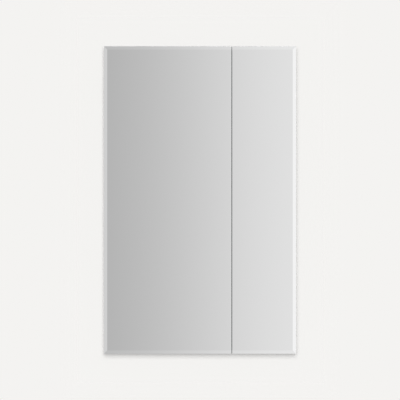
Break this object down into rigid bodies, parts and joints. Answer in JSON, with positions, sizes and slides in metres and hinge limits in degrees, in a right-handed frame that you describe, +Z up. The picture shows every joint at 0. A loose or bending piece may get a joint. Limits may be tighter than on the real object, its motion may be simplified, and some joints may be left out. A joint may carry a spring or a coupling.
{
  "type": "medicine cabinet",
  "caption": "Wall medicine cabinet with a wide and a narrow frameless bevelled mirror door on concealed pivot hinges, a mirrored back and adjustable glass shelves.",
  "frame": {"origin": "centre of the rear wall plane, on the rear brace", "axes": "+Z up, +Y into the wall, +X to the right as seen from the front"},
  "size_m": [0.625, 0.1283, 1],
  "materials": {
    "mirror": "silvered glass with a polished bevel",
    "anodised": "satin clear anodised",
    "galvanised": "galvanised",
    "painted": "light gray powder coat",
    "glass": "clear float glass, polished edges",
    "steel": "nickel plated steel",
    "plastic": "light gray moulded",
    "rubber": "soft mid-gray"
  },
  "bodies": {
    "case": {"back_mirror": "mirror", "back_panel": "painted", "case_bottom": "anodised", "case_left_side": "anodised", "case_right_side": "anodised", "case_top": "anodised", "hanging_rail": "galvanised", "left_bottom_hinge_arm": "steel", "left_bottom_hinge_plate": "steel", "left_catch": "plastic", "left_middle_hinge_arm": "steel", "left_middle_hinge_plate": "steel", "left_top_hinge_arm": "steel", "left_top_hinge_plate": "steel", "lower_rail": "galvanised", "lower_shelf": "glass", "lower_shelf_left_bracket": "plastic", "lower_shelf_right_bracket": "plastic", "middle_shelf": "glass", "middle_shelf_left_bracket": "plastic", "middle_shelf_right_bracket": "plastic", "rear_brace": "galvanised", "right_bottom_hinge_arm": "steel", "right_bottom_hinge_plate": "steel", "right_catch": "plastic", "right_top_hinge_arm": "steel", "right_top_hinge_plate": "steel", "upper_shelf": "glass", "upper_shelf_left_bracket": "plastic", "upper_shelf_right_bracket": "plastic"},
    "left_door": {"left_bottom_hinge_block": "steel", "left_bottom_hinge_pin": "steel", "left_door_bottom_bumper": "rubber", "left_door_bottom_rail": "anodised", "left_door_closing_stile": "anodised", "left_door_hinge_stile": "anodised", "left_door_inner_mirror": "mirror", "left_door_mirror": "mirror", "left_door_strike": "steel", "left_door_top_bumper": "rubber", "left_door_top_rail": "anodised", "left_middle_hinge_block": "steel", "left_middle_hinge_pin": "steel", "left_top_hinge_block": "steel", "left_top_hinge_pin": "steel", "meeting_seal": "rubber"},
    "right_door": {"right_bottom_hinge_block": "steel", "right_bottom_hinge_pin": "steel", "right_door_bottom_bumper": "rubber", "right_door_bottom_rail": "anodised", "right_door_closing_stile": "anodised", "right_door_hinge_stile": "anodised", "right_door_inner_mirror": "mirror", "right_door_mirror": "mirror", "right_door_strike": "steel", "right_door_top_bumper": "rubber", "right_door_top_rail": "anodised", "right_top_hinge_block": "steel", "right_top_hinge_pin": "steel"}
  },
  "joints": [
    {"name": "left_door_hinge", "type": "hinge", "parent": "case", "child": "left_door", "pos_m": [-0.302, -0.118, 0], "axis": [0, 0, -1], "range_deg": [0, 105]},
    {"name": "right_door_hinge", "type": "hinge", "parent": "case", "child": "right_door", "pos_m": [0.302, -0.118, 0], "axis": [0, 0, 1], "range_deg": [0, 105]}
  ]
}
